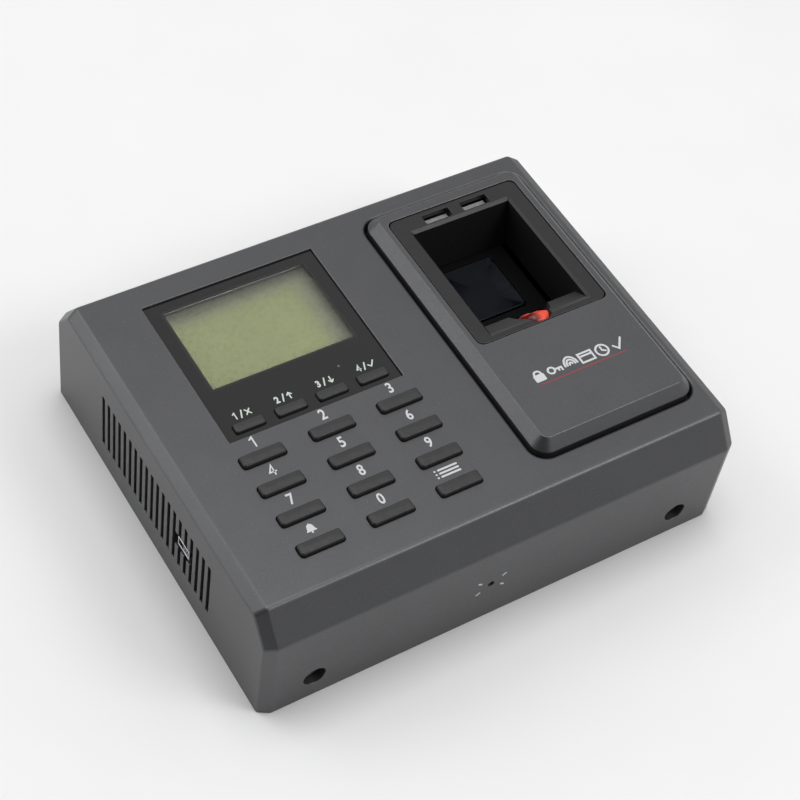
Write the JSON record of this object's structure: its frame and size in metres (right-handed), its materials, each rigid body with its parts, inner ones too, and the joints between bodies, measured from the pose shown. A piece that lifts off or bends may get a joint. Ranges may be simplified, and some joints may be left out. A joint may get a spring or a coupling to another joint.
{
  "type": "fingerprint scanner terminal",
  "caption": "Wall-mounted fingerprint access terminal: grey case with a display, numeric and function keys, and a raised reader with a deep finger well.",
  "frame": {"origin": "middle of the back plane, which rests on a surface as the terminal lies on its back; it is the plane of the wall when it is mounted", "axes": "+X along the width to the right as seen from the front, +Y towards the upper edge, +Z out of the face"},
  "size_m": [0.18, 0.149, 0.0536],
  "materials": {
    "housing_plastic": "fine-grained satin charcoal grey moulded plastic with a faint metallic sparkle",
    "cover_plastic": "the same charcoal grey, slightly smoother, with soft bevel highlights",
    "bezel_plastic": "smooth semi-gloss dark grey",
    "back_plastic": "plain black moulded plastic",
    "zinc_steel": "zinc-plated sheet steel",
    "screw_steel": "black-zinc screw steel",
    "panel_acrylic": "glossy black printed acrylic",
    "clear_acrylic": "clear acrylic",
    "frame_metal": "satin grey stamped frame",
    "lcd_surface": "yellow-green reflective display glass, unlit",
    "diffuser": "milky translucent plastic",
    "circuit_board": "green solder mask",
    "key_rubber": "matt dark grey silicone key caps",
    "mat_rubber": "grey silicone mat",
    "red_lens": "red translucent plastic lit from behind",
    "platen_glass": "dark optical glass with a bluish coating",
    "black_plastic": "black moulded plastic",
    "socket_steel": "nickel-plated steel shell",
    "terminal_green": "green terminal block plastic",
    "white_plastic": "off-white moulded plastic",
    "cable_sheath": "grey flat flexible cable"
  },
  "bodies": {
    "terminal": {"buzzer": "black_plastic", "coin_cell": "socket_steel", "display_cable": "cable_sheath", "display_panel": "panel_acrylic", "display_window": "clear_acrylic", "front_housing": "housing_plastic", "housing_screw_1": "screw_steel", "housing_screw_2": "screw_steel", "housing_screw_3": "screw_steel", "housing_screw_4": "screw_steel", "keypad_board": "circuit_board", "keypad_mat": "mat_rubber", "lcd_backlight": "diffuser", "lcd_board": "circuit_board", "lcd_frame": "frame_metal", "lcd_glass": "lcd_surface", "light_pipe_left": "diffuser", "light_pipe_right": "diffuser", "lock_terminal_block": "terminal_green", "main_board": "circuit_board", "network_jack": "socket_steel", "power_terminal_block": "terminal_green", "processor": "black_plastic", "reader_bezel": "bezel_plastic", "reader_cover": "cover_plastic", "reader_tongue": "red_lens", "rear_cover": "back_plastic", "relay": "black_plastic", "reset_switch": "black_plastic", "security_screw_left": "screw_steel", "security_screw_right": "screw_steel", "sensor_board": "circuit_board", "sensor_cable": "cable_sheath", "sensor_housing": "black_plastic", "sensor_platen": "platen_glass", "tamper_switch": "black_plastic", "usb_socket": "socket_steel", "wall_plate": "zinc_steel"},
    "key_0": {"key_0": "key_rubber"},
    "key_1": {"key_1": "key_rubber"},
    "key_2": {"key_2": "key_rubber"},
    "key_3": {"key_3": "key_rubber"},
    "key_4": {"key_4": "key_rubber"},
    "key_5": {"key_5": "key_rubber"},
    "key_6": {"key_6": "key_rubber"},
    "key_7": {"key_7": "key_rubber"},
    "key_8": {"key_8": "key_rubber"},
    "key_9": {"key_9": "key_rubber"},
    "key_bell": {"key_bell": "key_rubber"},
    "key_menu": {"key_menu": "key_rubber"},
    "function_key_back": {"function_key_back": "key_rubber"},
    "function_key_down": {"function_key_down": "key_rubber"},
    "function_key_ok": {"function_key_ok": "key_rubber"},
    "function_key_up": {"function_key_up": "key_rubber"},
    "reset_button": {"reset_button": "white_plastic"},
    "tamper_plunger": {"tamper_plunger": "white_plastic"}
  },
  "joints": [
    {"name": "key_0_press", "type": "slide", "parent": "terminal", "child": "key_0", "axis": [0, 0, -1], "range_m": [0, 0.0012], "stiffness_N_per_m": 500, "springref_m": -0.0002},
    {"name": "key_1_press", "type": "slide", "parent": "terminal", "child": "key_1", "axis": [0, 0, -1], "range_m": [0, 0.0012], "stiffness_N_per_m": 500, "springref_m": -0.0002},
    {"name": "key_2_press", "type": "slide", "parent": "terminal", "child": "key_2", "axis": [0, 0, -1], "range_m": [0, 0.0012], "stiffness_N_per_m": 500, "springref_m": -0.0002},
    {"name": "key_3_press", "type": "slide", "parent": "terminal", "child": "key_3", "axis": [0, 0, -1], "range_m": [0, 0.0012], "stiffness_N_per_m": 500, "springref_m": -0.0002},
    {"name": "key_4_press", "type": "slide", "parent": "terminal", "child": "key_4", "axis": [0, 0, -1], "range_m": [0, 0.0012], "stiffness_N_per_m": 500, "springref_m": -0.0002},
    {"name": "key_5_press", "type": "slide", "parent": "terminal", "child": "key_5", "axis": [0, 0, -1], "range_m": [0, 0.0012], "stiffness_N_per_m": 500, "springref_m": -0.0002},
    {"name": "key_6_press", "type": "slide", "parent": "terminal", "child": "key_6", "axis": [0, 0, -1], "range_m": [0, 0.0012], "stiffness_N_per_m": 500, "springref_m": -0.0002},
    {"name": "key_7_press", "type": "slide", "parent": "terminal", "child": "key_7", "axis": [0, 0, -1], "range_m": [0, 0.0012], "stiffness_N_per_m": 500, "springref_m": -0.0002},
    {"name": "key_8_press", "type": "slide", "parent": "terminal", "child": "key_8", "axis": [0, 0, -1], "range_m": [0, 0.0012], "stiffness_N_per_m": 500, "springref_m": -0.0002},
    {"name": "key_9_press", "type": "slide", "parent": "terminal", "child": "key_9", "axis": [0, 0, -1], "range_m": [0, 0.0012], "stiffness_N_per_m": 500, "springref_m": -0.0002},
    {"name": "key_bell_press", "type": "slide", "parent": "terminal", "child": "key_bell", "axis": [0, 0, -1], "range_m": [0, 0.0012], "stiffness_N_per_m": 500, "springref_m": -0.0002},
    {"name": "key_menu_press", "type": "slide", "parent": "terminal", "child": "key_menu", "axis": [0, 0, -1], "range_m": [0, 0.0012], "stiffness_N_per_m": 500, "springref_m": -0.0002},
    {"name": "function_key_back_press", "type": "slide", "parent": "terminal", "child": "function_key_back", "axis": [0, 0, -1], "range_m": [0, 0.0012], "stiffness_N_per_m": 500, "springref_m": -0.0002},
    {"name": "function_key_down_press", "type": "slide", "parent": "terminal", "child": "function_key_down", "axis": [0, 0, -1], "range_m": [0, 0.0012], "stiffness_N_per_m": 500, "springref_m": -0.0002},
    {"name": "function_key_ok_press", "type": "slide", "parent": "terminal", "child": "function_key_ok", "axis": [0, 0, -1], "range_m": [0, 0.0012], "stiffness_N_per_m": 500, "springref_m": -0.0002},
    {"name": "function_key_up_press", "type": "slide", "parent": "terminal", "child": "function_key_up", "axis": [0, 0, -1], "range_m": [0, 0.0012], "stiffness_N_per_m": 500, "springref_m": -0.0002},
    {"name": "reset_press", "type": "slide", "parent": "terminal", "child": "reset_button", "axis": [0, 1, 0], "range_m": [0, 0.0006], "stiffness_N_per_m": 600, "springref_m": -0.0002},
    {"name": "tamper_press", "type": "slide", "parent": "terminal", "child": "tamper_plunger", "axis": [0, 0, 1], "range_m": [0, 0.0018], "stiffness_N_per_m": 150, "springref_m": -0.0004}
  ]
}
